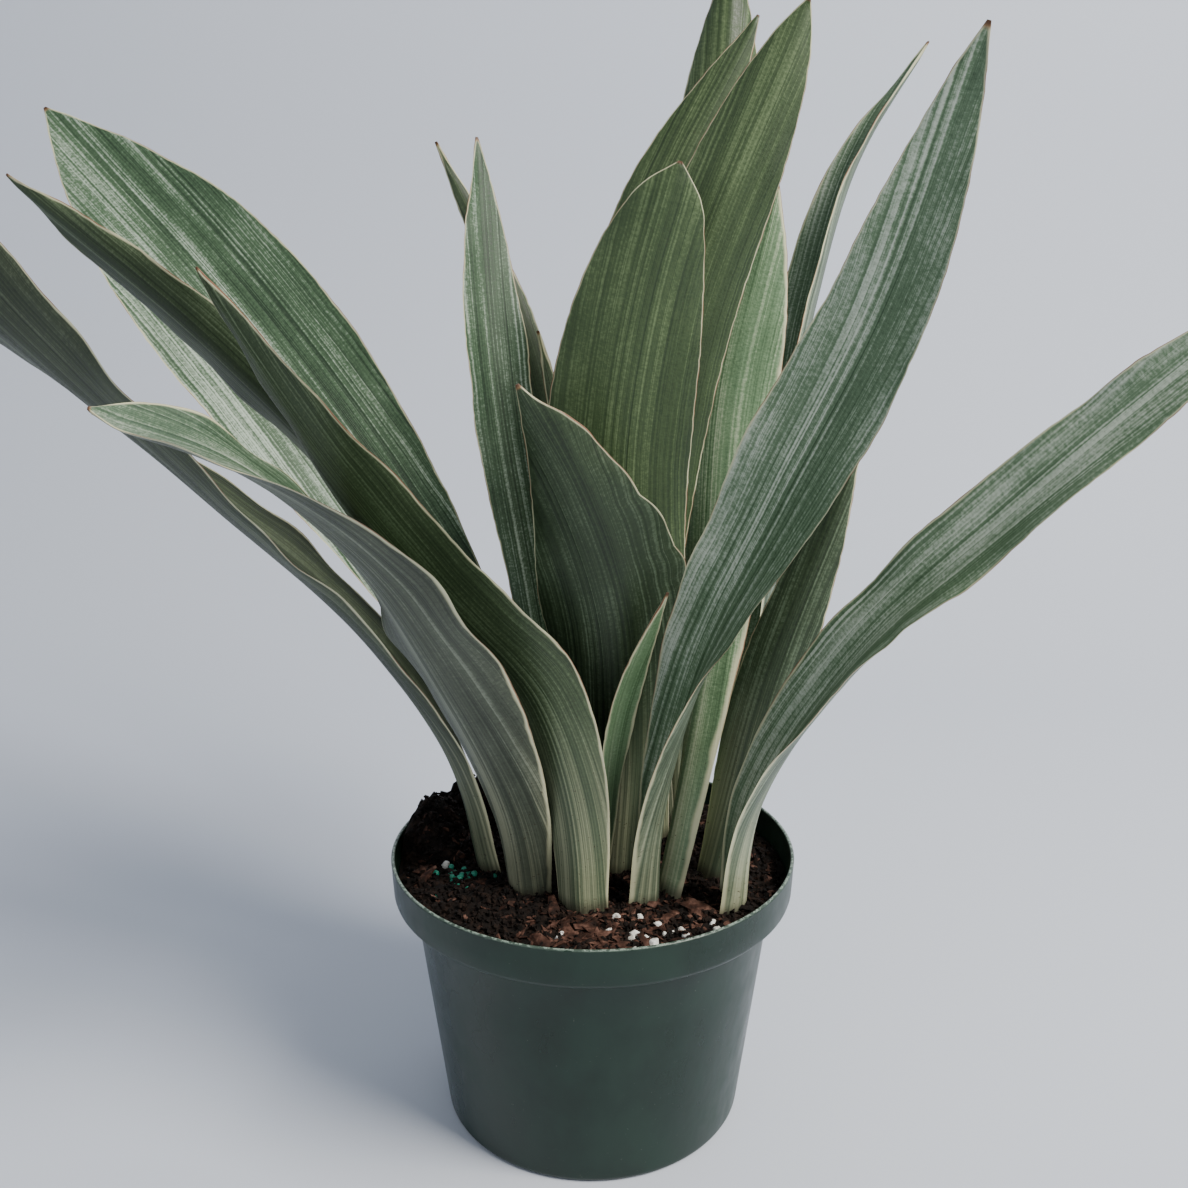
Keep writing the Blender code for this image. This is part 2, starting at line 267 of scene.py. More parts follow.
class LeafPainter(Painter):
    """A leaf's material under construction, with the measures and noises its layers share."""

    def __init__(self, name: str, seed: float, stripe: float, hair: float) -> None:
        """Reads the skin's attributes and makes the noises that several layers use.

        Args:
            name: The material's name.
            seed: Moves the pattern, so that no two leaves match.
            stripe: Width of a broad stripe in metres.
            hair: Width of a fine stripe in metres.
        """
        super().__init__(name)
        self.seed = seed
        self.blade = self.attribute("blade", vector=True)
        self.rim = self.attribute("rim_distance")
        self.tip = self.attribute("tip_distance")
        self.foot = self.attribute("foot_distance")
        self.broad = self.streaks(stripe, 0.30, 1.0, 0.5, (seed, seed * 1.7, seed))
        self.hair = self.streaks(hair, 0.24, 2.0, 0.65, (seed * 2.1, seed, seed))
        # The speckle is really about 0.3 mm, drawn nearer 0.9 mm so that it shows.
        self.mottle = self.streaks(0.0013, 0.0009, 3.0, 0.7, (seed, seed * 3.3, seed))
        ragged = self.streaks(0.5, 0.018, 2.0, 0.55, (seed, seed, 1))
        self.wander = self.span(ragged, 0.25, 0.75, 0.55, 1.35)

    def streaks(self, across: float, along: float, detail: float, rough: float, shift: tuple) -> Socket:
        """A noise in the plane of the blade, with features of that size in metres."""
        return self.noise(self.blade, (across, along, 1.0), detail, rough, shift)

    def within(self, distance: Socket, width: float, low: float, high: float, most: float) -> Socket:
        """The share of a border, which fades from low to high ragged widths in from the edge."""
        reached = self.maths("DIVIDE", distance, self.times(self.wander, width * MM))
        return self.span(reached, low, high, most, 0.0)


# ---------------------------------------------------------------- finishes


@dataclass(frozen=True)
class BladeSide:
    """The colours of one side of a leaf, from its darkest stripe to its palest."""

    dark: str
    middle: str
    pale: str
    paleness: float = 0.5


@dataclass(frozen=True)
class WaxyLeaf:
    """Leaf cuticle, grown and waxy, with its widths and lengths in millimetres.

    The eye gets lengthwise silver stripes broken by a fine speckle, a cream margin with a
    thin rust-brown edge, a dry tan tip, and paler streaks at the foot.
    """

    face: BladeSide
    back: BladeSide
    margin: str = "#c9c8a4"
    edge: str = "#7d4c37"
    tip: str = "#8a6a48"
    char: str = "#4a2f22"
    foot: str = "#687660"
    spot: str = "#3a2c20"
    soil: str = "#2c231b"
    foot_wash: float = 0.40
    foot_streaks: float = 0.55
    foot_length: float = 85.0
    soil_length: float = 6.0
    tip_length: float = 1.7
    char_length: float = 1.0
    margin_width: float = 0.7
    edge_width: float = 0.24
    stripe: float = 6.5
    hair: float = 0.9
    mottle: float = 0.34
    spread: float = 0.17
    # With a negative lean each blade is painted darker towards its right-hand margin, as seen from the
    # front, and paler towards its left: painted shade and light across the blade.
    lean: float = 0.0
    roughness: float = 0.46
    ridge_depth: float = 0.22
    mottle_depth: float = 0.06

    def stripes(self, paint: LeafPainter) -> Socket:
        """The stripes of the face and the back.

        Args:
            paint: The material under construction.

        Returns:
            The colour.
        """
        cloud = paint.streaks(0.012, 0.03, 2.0, 0.5, (paint.seed, paint.seed, 0))
        tone = paint.weighed(
            (paint.broad, 0.34), (paint.hair, 0.66), (paint.mottle, self.mottle), (cloud, 0.20)
        )
        tone = paint.maths("SUBTRACT", tone, 0.10 + self.mottle / 2)
        # Painted shade and light: the lean shifts the tone across the blade, so one side seen from the
        # front is darker.
        tone = paint.maths("ADD", tone, paint.times(paint.part(paint.blade, "X"), self.lean))
        sides = []
        for side in (self.face, self.back):
            middle = 0.50 + (0.5 - side.paleness) * 0.4
            dark = (middle - self.spread, side.dark)
            pale = (middle + self.spread, side.pale)
            sides.append(paint.ramp(tone, dark, (middle, side.middle), pale))
        return paint.blend(paint.attribute("under"), sides[0], sides[1])

    def with_foot(self, paint: LeafPainter, colour: Socket) -> Socket:
        """Lays the pale streaked foot and the dark specks over the stripes.

        Args:
            paint: The material under construction.
            colour: The colour below.

        Returns:
            The colour.
        """
        streak = paint.span(paint.weighed((paint.hair, 0.5), (paint.broad, 0.5)), 0.42, 0.66)
        near_foot = paint.span(paint.foot, 0.0, self.foot_length * MM, 1.0, 0.0)
        colour = paint.blend(paint.times(near_foot, self.foot_wash), colour, self.foot)
        streaked = paint.times(paint.times(streak, near_foot), self.foot_streaks)
        colour = paint.blend(streaked, colour, self.margin)
        spots = paint.streaks(0.0007, 0.0009, 1.0, 0.5, (paint.seed, 0, paint.seed))
        fewer_up = paint.span(paint.foot, 0.0, 0.12, 0.9, 0.25)
        return paint.blend(paint.times(paint.span(spots, 0.70, 0.76), fewer_up), colour, self.spot)

    def with_borders(self, paint: LeafPainter, colour: Socket) -> Socket:
        """Lays the margin, its thin brown edge, the dry tip and the soiled foot over the rest.

        Args:
            paint: The material under construction.
            colour: The colour below.

        Returns:
            The colour.
        """
        cream = paint.within(paint.rim, self.margin_width, 0.35, 1.25, 0.92)
        colour = paint.blend(cream, colour, self.margin)
        bitten = paint.streaks(0.5, 0.03, 2.0, 0.6, (paint.seed * 3, paint.seed, 4))
        crust = paint.within(paint.rim, self.edge_width, 0.6, 1.2, 0.9)
        crust = paint.times(crust, paint.span(bitten, 0.38, 0.58))
        crust = paint.times(crust, paint.span(paint.foot, 0.03, 0.09))
        colour = paint.blend(crust, colour, self.edge)
        dry = paint.within(paint.tip, self.tip_length, 0.5, 1.3, 1.0)
        colour = paint.blend(dry, colour, self.tip)
        charred = paint.within(paint.tip, self.char_length, 0.5, 1.4, 0.8)
        colour = paint.blend(charred, colour, self.char)
        soiled = paint.span(paint.foot, 0.0, self.soil_length * MM, 0.75, 0.0)
        return paint.blend(soiled, colour, self.soil)

    def build(self, name: str, seed: float) -> Material:
        """Makes the material for one leaf.

        Args:
            name: The material's name.
            seed: Moves the pattern, so that no two leaves match.

        Returns:
            The material.
        """
        paint = LeafPainter(name, seed, self.stripe * MM, self.hair * MM)
        colour = self.with_borders(paint, self.with_foot(paint, self.stripes(paint)))
        ridges = paint.bump(paint.hair, self.ridge_depth * MM)
        normal = paint.bump(paint.mottle, self.mottle_depth * MM, ridges)
        gloss = paint.span(paint.mottle, 0.3, 0.7, self.roughness - 0.06, self.roughness + 0.12)
        paint.feed(Base_Color=colour, Roughness=gloss, Normal=normal)
        paint.feed(IOR=1.45, Metallic=0.0, Specular_IOR_Level=0.45)
        return paint.material


@dataclass(frozen=True)
class MouldedPolypropylene:
    """Polypropylene, injection moulded.

    The eye gets an even dark green with a soft sheen, faint scuffs and dust, and a paler
    ragged line along the top of the rim, partly real wear and partly a painted highlight.
    """

    body: str = "#12251c"
    bloom: str = "#1b3026"
    worn_and_highlight: str = "#a3b5a8"
    dust: str = "#6d7269"
    roughness: float = 0.32

    def build(self, rim_height: float) -> Material:
        """Makes the pot's material.

        Args:
            rim_height: Height of the top of the rim, where the worn line with its painted highlight is.

        Returns:
            The material.
        """
        paint = Painter("moulded_polypropylene")
        place = paint.place()
        cloud = paint.noise(place, (0.02, 0.02, 0.03), 3.0, 0.6)
        colour = paint.blend(paint.span(cloud, 0.35, 0.75), self.body, self.bloom)
        scuff = paint.noise(place, (0.005, 0.005, 0.0006), 4.0, 0.7, (3, 1, 2))
        colour = paint.blend(paint.times(paint.span(scuff, 0.60, 0.74), 0.35), colour, self.bloom)
        dots = paint.noise(place, (0.0012, 0.0012, 0.0012), 2.0, 0.6)
        colour = paint.blend(paint.span(dots, 0.70, 0.80, 0.0, 0.5), colour, self.dust)
        # The pale ragged line along the top of the rim: partly real wear and chips, partly a painted
        # highlight where the rolled rim catches the light.
        chips = paint.noise(place, (0.0026, 0.0026, 0.001), 3.0, 0.75)
        drop = paint.maths("SUBTRACT", rim_height, paint.part(place, "Z"))
        ragged = paint.maths("ADD", drop, paint.times(chips, 0.0022))
        wear_and_highlight = paint.span(ragged, 0.0010, 0.0018, 0.9, 0.0)
        wear_and_highlight = paint.times(wear_and_highlight, paint.span(chips, 0.46, 0.54, 0.15, 1.0))
        colour = paint.blend(wear_and_highlight, colour, self.worn_and_highlight)
        gloss = paint.span(cloud, 0.3, 0.8, self.roughness - 0.06, self.roughness + 0.14)
        # The orange-peel of the mould is about 0.5 mm across.
        peel = paint.noise(place, (0.0006, 0.0006, 0.0006), 1.0, 0.5)
        normal = paint.bump(cloud, 0.00025, paint.bump(peel, 0.00001))
        paint.feed(Base_Color=colour, Roughness=gloss, Normal=normal)
        paint.feed(IOR=1.49, Metallic=0.0, Specular_IOR_Level=0.34)
        return paint.material


@dataclass(frozen=True)
class Crumb:
    """Loose matter, broken or screened: a matt grain with a mottle of its own colours."""

    name: str
    dark: str
    middle: str
    pale: str
    grain: float = 1.6
    roughness: float = 0.9
    specular: float = 0.25
    relief: float = 0.15

    def build(self) -> Material:
        """Makes the material.

        Returns:
            The material.
        """
        paint = Painter(self.name)
        place = paint.place()
        size = self.grain * MM
        coarse = paint.noise(place, (size * 3.5,) * 3, 2.0, 0.6)
        fine = paint.noise(place, (size,) * 3, 3.0, 0.65, (5, 2, 7))
        tone = paint.weighed((coarse, 0.65), (fine, 0.35))
        colour = paint.ramp(tone, (0.36, self.dark), (0.50, self.middle), (0.66, self.pale))
        paint.feed(Base_Color=colour, Normal=paint.bump(fine, self.relief * MM))
        paint.feed(Roughness=self.roughness, IOR=1.45, Metallic=0.0, Specular_IOR_Level=self.specular)
        return paint.material


COMPOST = Crumb("screened_compost", "#080604", "#140e0b", "#271b14", grain=1.2, relief=0.4)
PINE_BARK = Crumb("broken_pine_bark", "#1b110c", "#3f281f", "#765649", grain=1.5, roughness=0.8)
DARK_BARK = Crumb("composted_bark", "#090605", "#18100c", "#32221a", grain=1.2, roughness=0.85)
PERLITE = Crumb("expanded_perlite", "#b9b6ad", "#e4e2da", "#fbfaf6", grain=0.7, roughness=0.8, relief=0.2)
PRILL = Crumb(
    "coated_fertiliser", "#12604f", "#1c8a70", "#3fb095",
    grain=0.8, roughness=0.35, specular=0.5, relief=0.03,
)

SILVER_FACE = BladeSide("#374f35", "#637b5d", "#bcc6b4", 0.50)
SILVER_BACK = BladeSide("#333f31", "#596854", "#8f9c8b", 0.45)
DEEP_FACE = BladeSide("#213522", "#455e43", "#a9b8a8", 0.47)
GREEN_FACE = BladeSide("#2c412c", "#4a6046", "#8b9c84", 0.46)
GREEN_BACK = BladeSide("#2b3824", "#445338", "#718062", 0.42)
# Painted shade: a darker copy of the green face, for a leaf that stands in shadow.
SHADED_GREEN_FACE = BladeSide("#20281a", "#38422d", "#636c55", 0.42)
OLIVE_FACE = BladeSide("#37482f", "#536647", "#87967e", 0.44)
OLIVE_BACK = BladeSide("#27371f", "#3f5131", "#6f8159", 0.40)
# Painted shade: a darker copy of the olive face, for leaves that stand in shadow.
SHADED_OLIVE_FACE = BladeSide("#1b2817", "#32412a", "#62725a", 0.40)
PALE_FACE = BladeSide("#466240", "#6d8a64", "#a9ba9c", 0.50)
PALE_BACK = BladeSide("#456041", "#6f8a66", "#b3c0a0", 0.52)
GREY_FACE = BladeSide("#2e422f", "#526850", "#a5b19e", 0.50)
GREY_BACK = BladeSide("#30362a", "#4e5545", "#7d8472", 0.46)

SILVER = WaxyLeaf(SILVER_FACE, SILVER_BACK, lean=-2.0)
DEEP = WaxyLeaf(DEEP_FACE, SILVER_BACK, lean=-2.6)
GREEN = WaxyLeaf(GREEN_FACE, GREEN_BACK)
# Painted shade: the green leaf darkened on both sides.
SHADED_GREEN = WaxyLeaf(SHADED_GREEN_FACE, SHADED_GREEN_FACE)
OLIVE = WaxyLeaf(
    OLIVE_FACE, OLIVE_BACK,
    margin_width=0.45, edge="#7a4128", spread=0.20, lean=-1.5, tip_length=0.7,
)
# Painted shade: the olive leaf again, with the darker colours above.
SHADED_OLIVE = WaxyLeaf(SHADED_OLIVE_FACE, SHADED_OLIVE_FACE, margin_width=0.45, edge="#7a4128", spread=0.20)
PALE = WaxyLeaf(PALE_FACE, PALE_BACK, margin_width=1.1)
RIBBED = WaxyLeaf(PALE_FACE, PALE_BACK, margin_width=1.5, foot="#7f9073")
GREY = WaxyLeaf(GREY_FACE, GREY_BACK, margin_width=1.0, foot="#60675a")


class Tone(Enum):
    """The four kinds of leaf colour on this plant, by the material slot each belongs to."""

    SILVER = "leaf_silver"
    GREEN = "leaf_green"
    OLIVE = "leaf_olive"
    PALE = "leaf_pale"


# ---------------------------------------------------------------- meshes


def linked(name: str, data: bpy.types.ID) -> Object:
    """Puts a new object into the scene.

    Args:
        name: Its name.
        data: Its mesh, light or camera.

    Returns:
        The object.
    """
    obj = bpy.data.objects.new(name, data)
    bpy.context.scene.collection.objects.link(obj)
    return obj


def plain_object(name: str, points: np.ndarray, faces: list, material: Material, smooth: float) -> Object:
    """A mesh object at the origin with one material.

    Args:
        name: The piece's name.
        points: Its points.
        faces: Its faces, as indices of points.
        material: Its material.
        smooth: Shaded smooth below this angle in degrees.

    Returns:
        The object.
    """
    mesh = bpy.data.meshes.new(name)
    mesh.from_pydata([tuple(map(float, p)) for p in points], [], faces)
    mesh.validate()
    mesh.materials.append(material)
    shade(mesh, smooth)
    return linked(name, mesh)


def shade(mesh: bpy.types.Mesh, smooth: float) -> None:
    """Shades a mesh smooth below an angle in degrees."""
    mesh.shade_smooth()
    mesh.set_sharp_from_angle(angle=math.radians(smooth))


def write_attribute(mesh: bpy.types.Mesh, name: str, values: np.ndarray) -> None:
    """Stores one number, or one vector, for each point of a mesh.

    Args:
        mesh: The mesh.
        name: The attribute's name.
        values: The numbers, in the order of the points.
    """
    vector = values.size > len(mesh.vertices)
    layer = mesh.attributes.new(name, "FLOAT_VECTOR" if vector else "FLOAT", "POINT")
    layer.data.foreach_set("vector" if vector else "value", values.astype(np.float32).ravel())


def merged_points(node: str) -> tuple[np.ndarray, list]:
    """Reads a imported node, with the points that lie together made one.

    Args:
        node: The node's name.

    Returns:
        Its points, and its faces as indices of points.
    """
    work = bmesh.new()
    work.from_mesh(frame["nodes"][node].data)
    bmesh.ops.remove_doubles(work, verts=work.verts[:], dist=1e-5)
    work.verts.ensure_lookup_table()
    points = np.array([v.co[:] for v in work.verts], float)
    faces = [[v.index for v in f.verts] for f in work.faces]
    work.free()
    return points, faces


def face_outward(obj: Object) -> None:
    """Points a closed mesh's faces outwards.

    Args:
        obj: The mesh object.
    """
    work = bmesh.new()
    work.from_mesh(obj.data)
    bmesh.ops.recalc_face_normals(work, faces=work.faces[:])
    if work.calc_volume(signed=True) < 0:
        bmesh.ops.reverse_faces(work, faces=work.faces[:])
    work.to_mesh(obj.data)
    work.free()


def evaluated_mesh(obj: Object) -> bpy.types.Mesh:
    """The mesh that an object's modifiers make of it, as a new mesh."""
    graph = bpy.context.evaluated_depsgraph_get()
    return bpy.data.meshes.new_from_object(obj.evaluated_get(graph))


def arc(middle: tuple, radius: float, start: float, step: float, count: int) -> list[tuple]:
    """Points round a circle, its angles in degrees from the first axis towards the second."""
    turns = [math.radians(start + step * k) for k in range(count)]
    return [(middle[0] + radius * math.cos(t), middle[1] + radius * math.sin(t)) for t in turns]


def hoops(count: int, rows: int, first: int = 0) -> list[tuple]:
    """Joins each hoop of points to the next.

    Args:
        count: Points in a hoop.
        rows: How many hoops there are.
        first: Index of the first hoop's first point.

    Returns:
        The faces.
    """
    faces = []
    for low in range(first, first + (rows - 1) * count, count):
        high = low + count
        for j in range(count):
            k = (j + 1) % count
            faces.append((low + j, low + k, high + k, high + j))
    return faces


def unit(rows: np.ndarray) -> np.ndarray:
    """Rows of vectors, each brought to a length of one."""
    return rows / np.maximum(np.linalg.norm(rows, axis=1), TINY)[:, None]


def spline(knots: np.ndarray, values: np.ndarray, at: np.ndarray) -> np.ndarray:
    """Cubic interpolation over uneven knots.

    Args:
        knots: Where the values are known, rising.
        values: A row of any shape for each knot.
        at: Where they are wanted.

    Returns:
        A row of the same shape for each place.
    """
    flat = values.reshape(len(knots), -1)
    slopes = np.gradient(flat, knots, axis=0)
    index = np.clip(np.searchsorted(knots, at, side="right") - 1, 0, len(knots) - 2)
    step = (knots[index + 1] - knots[index])[:, None]
    t = (at - knots[index])[:, None] / step
    found = (
        (2 * t**3 - 3 * t**2 + 1) * flat[index]
        + (t**3 - 2 * t**2 + t) * step * slopes[index]
        + (3 * t**2 - 2 * t**3) * flat[index + 1]
        + (t**3 - t**2) * step * slopes[index + 1]
    )
    return found.reshape(len(at), *values.shape[1:])


def wander(at: np.ndarray, wave: float, rng: np.random.Generator) -> np.ndarray:
    """A smooth wandering line between about -1 and 1.

    Args:
        at: Where it is wanted.
        wave: About how long its waves are.
        rng: Where its phases come from.

    Returns:
        Its value at each place.
    """
    total = np.zeros_like(at)
    for k, strength in enumerate((1.0, 0.6, 0.35)):
        total += strength * np.sin(at * 2 * math.pi / wave * (1.0 + 0.83 * k) + rng.uniform(0, 6.28))
    return total / 1.6


# ---------------------------------------------------------------- leaves


@dataclass(frozen=True)
class Dent:
    """An uneven place on one margin, 0 or 1.

    Its place and length are shares of the leaf's length, and it moves the margin outward
    and lifts it by so many millimetres.
    """

    along: float
    length: float
    outward: float
    side: int
    lift: float = 0.0


@dataclass(frozen=True)
class Run:
    """A leaf's stations: how far along it, its middle, directions, half width and fold."""

    at: np.ndarray
    middle: np.ndarray
    width: np.ndarray
    upper: np.ndarray
    half: np.ndarray
    depth: np.ndarray
    shoulder: np.ndarray


@dataclass
class Leaf:
    """One leaf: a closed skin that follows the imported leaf's own cross-sections.

    The ripple is a share of the usual waviness; thickness and edge are in millimetres.
    """

    node: str
    tone: Tone
    finish: WaxyLeaf
    seed: int
    ripple: float = 1.0
    thickness: float = 1.9
    edge: float = 0.55
    dents: tuple = ()
    stations: int = 130
    across: int = 25

    def packed_rings(self) -> np.ndarray:
        """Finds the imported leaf's rings of points, from the buried end to the tip.

        Neighbouring rings are joined by slanting edges, so each ring is the next layer of
        points out from the lowest ones, turned to match the ring before.

        Returns:
            The rings' points, by ring and by place in the ring.
        """
        points, faces = merged_points(self.node)
        beside = defaultdict(set)
        for corners in faces:
            for a, b in zip(corners, corners[1:] + corners[:1]):
                beside[a].add(b)
                beside[b].add(a)
        layer = set(np.argsort(points[:, 2])[:RING_POINTS].tolist())
        seen = set(layer)
        rings = []
        while layer:
            ring = self.ring_order(points, layer)
            if rings:
                last = rings[-1]
                ring = min(
                    (np.roll(flip, k, axis=0) for flip in (ring, ring[::-1]) for k in range(RING_POINTS)),
                    key=lambda r: np.linalg.norm(r - r.mean(0) - last + last.mean(0)),
                )
            rings.append(ring)
            layer = {b for a in layer for b in beside[a]} - seen
            seen |= layer
        return self.start_at_margin(np.array(rings))

    @staticmethod
    def ring_order(points: np.ndarray, layer: set) -> np.ndarray:
        """Puts a ring's points in order round its own outline.

        The two points furthest apart are the margins. The rest lie between them in pairs,
        one of each pair on the hollow side and one on the other.

        Args:
            points: All the leaf's points.
            layer: Which of them are in the ring.

        Returns:
            The ring's points in order, a margin first.
        """
        ring = points[sorted(layer)]
        spread = np.linalg.norm(ring[:, None] - ring[None], axis=2)
        first, last = np.unravel_index(np.argmax(spread), spread.shape)
        width = ring[last] - ring[first]
        reach = (ring - ring[first]) @ width / (width @ width)
        chord = ring - ring[first] - reach[:, None] * width
        depth = chord[np.argmax(np.linalg.norm(chord, axis=1))]
        depth = depth / max(np.linalg.norm(depth), TINY)
        fall = chord @ depth
        inner = []
        outer = []
        middle = [i for i in np.argsort(reach) if i not in (first, last)]
        for a, b in zip(middle[::2], middle[1::2]):
            near, far = (a, b) if fall[a] < fall[b] else (b, a)
            inner.append(near)
            outer.append(far)
        return ring[[first, *inner, last, *outer[::-1]]]

    @staticmethod
    def start_at_margin(rings: np.ndarray) -> np.ndarray:
        """Turns every ring to start at one margin, with its hollow upper side next.

        Args:
            rings: The rings, matched to each other.

        Returns:
            The turned rings.
        """
        ring = rings[len(rings) // 2]
        shift = int(np.argmax([np.linalg.norm(ring[k] - ring[k + 4]) for k in range(4)]))
        rings = np.roll(rings, -shift, axis=1)
        ring = rings[len(rings) // 2]
        chord = (ring[0] + ring[4]) / 2
        if np.linalg.norm(ring[2] - chord) > np.linalg.norm(ring[6] - chord):
            rings = np.roll(rings[:, ::-1], 1, axis=1)
        return rings

    def run(self) -> Run:
        """Takes the leaf's run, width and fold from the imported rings.

        Returns:
            Its stations, closer together towards the tip.
        """
        rings = self.packed_rings()
        middles = (rings[:, 0] + rings[:, 4]) / 2
        steps = np.linalg.norm(np.diff(middles, axis=0), axis=1)
        knots = np.concatenate([[0], np.cumsum(steps)])
        at = (1 - (1 - np.linspace(0, 1, self.stations)) ** 1.25) * knots[-1]
        rings = spline(knots, rings, at)
        left, right = rings[:, 0], rings[:, 4]
        middle = (left + right) / 2
        width = unit(right - left)
        upper = unit(np.cross(unit(np.gradient(middle, at, axis=0)), width))
        if np.mean(((rings[:, 6] - rings[:, 2]) * upper).sum(1)[5:60]) > 0:
            upper = -upper
        return Run(
            at=at,
            middle=middle,
            width=width,
            upper=upper,
            half=np.linalg.norm(right - left, axis=1) / 2,
            depth=((rings[:, 2] - middle) * upper).sum(1),
            shoulder=(((rings[:, 1] + rings[:, 3]) / 2 - middle) * upper).sum(1),
        )

    def margins(self, run: Run) -> tuple[np.ndarray, np.ndarray, np.ndarray]:
        """Works out how each margin waves, where it is uneven, and how far its dents lift it.

        Args:
            run: The leaf's stations.

        Returns:
            The waves, the unevenness and the lift, by station and margin.
        """
        rng = np.random.default_rng(self.seed)
        along = run.at / run.at[-1]
        calm = np.clip(along * 4 - 0.6, 0, 1) * np.clip((run.at[-1] - run.at) / 0.012, 0, 1)
        waves = [wander(run.at, 0.075, rng) * self.ripple * 1.3 * MM * calm for _ in range(2)]
        nibble = [wander(run.at, 0.021, rng) * 0.28 * MM * calm for _ in range(2)]
        lift = [np.zeros_like(along), np.zeros_like(along)]
        for dent in self.dents:
            hump = np.exp(-(((along - dent.along) / dent.length) ** 2))
            nibble[dent.side] += hump * dent.outward * MM
            lift[dent.side] += hump * dent.lift * MM
        return np.transpose(waves), np.transpose(nibble), np.transpose(lift)

    def skin(self, run: Run) -> tuple[np.ndarray, dict[str, np.ndarray]]:
        """Lays the skin round the stations, over the upper side and back under it.

        Args:
            run: The leaf's stations.

        Returns:
            Its points by station and place round it, and what its finish reads at each.
        """
        waves, nibble, lift = self.margins(run)
        at, half, depth, shoulder = (v[:, None] for v in (run.at, run.half, run.depth, run.shoulder))
        t = np.sin(np.linspace(-1, 1, self.across) * math.pi / 2)
        side = np.concatenate([np.ones(self.across), -np.ones(self.across - 2)])
        t = np.concatenate([t, t[-2:0:-1]])
        reach = np.abs(t)
        which = (t >= 0).astype(int)
        body = np.minimum(self.thickness * MM * (1 - 0.55 * (at / at[-1]) ** 2), half * 0.55)
        edge = np.minimum(self.edge * MM, half * 0.4)
        foot = run.middle[:, 2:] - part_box("nursery_pot")[1].z + MIX_BELOW_RIM
        # The fold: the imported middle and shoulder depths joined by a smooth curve.
        fall = depth * (1 - reach**2)
        fall = fall + (shoulder - depth * (1 - 0.55**2)) * np.sin(math.pi * reach) ** 2
        swell = waves[:, which] * reach**3 + lift[:, which] * reach**2
        groove = 0.10 * MM * np.sin(reach * 26 + self.seed) * (1 - reach**4) * np.clip(foot / 0.03, 0, 1)
        # An uneven place only ever moves the margin out, whatever its sign.
        out = t * half + np.copysign(nibble[:, which], t) * reach**2
        thick = body * (1 - reach**2.2) + edge
        cap = np.sqrt(np.maximum(0.0, 1 - reach**10))
        up = fall + swell - body * 0.5 + side * thick * 0.5 * cap + groove
        points = run.middle[:, None] + run.width[:, None] * out[..., None]
        points = points + run.upper[:, None] * up[..., None]
        # The blade's first axis points right as seen from the front, so the lean's painted shade falls on
        # the same side of every leaf.
        rightward = 1.0 if run.width[self.stations // 2][0] > 0 else -1.0
        level = np.zeros_like(out)
        return points, {
            "blade": np.stack([t * half * rightward, at + level, side * 0.01 + level], axis=-1),
            "rim_distance": half * (1 - reach),
            "tip_distance": at[-1] - at + level,
            "foot_distance": np.maximum(foot, 0.0) + level,
            "under": (side < 0) + level,
        }

    def build(self) -> Object:
        """Makes the leaf's skin with the attributes that its finish reads.

        Returns:
            The leaf as one closed mesh.
        """
        points, measures = self.skin(self.run())
        count = points.shape[1]
        faces = hoops(count, self.stations)
        faces.append(tuple(reversed(range(count))))
        faces.append(tuple(range((self.stations - 1) * count, self.stations * count)))
        material = self.finish.build("cuticle_" + self.node, self.seed * 1.37)
        skin = plain_object(self.node + "_skin", points.reshape(-1, 3), faces, material, 60.0)
        face_outward(skin)
        for name, values in measures.items():
            write_attribute(skin.data, name, values)
        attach(skin, BODY)
        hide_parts(self.node)
        return skin


# ---------------------------------------------------------------- pot


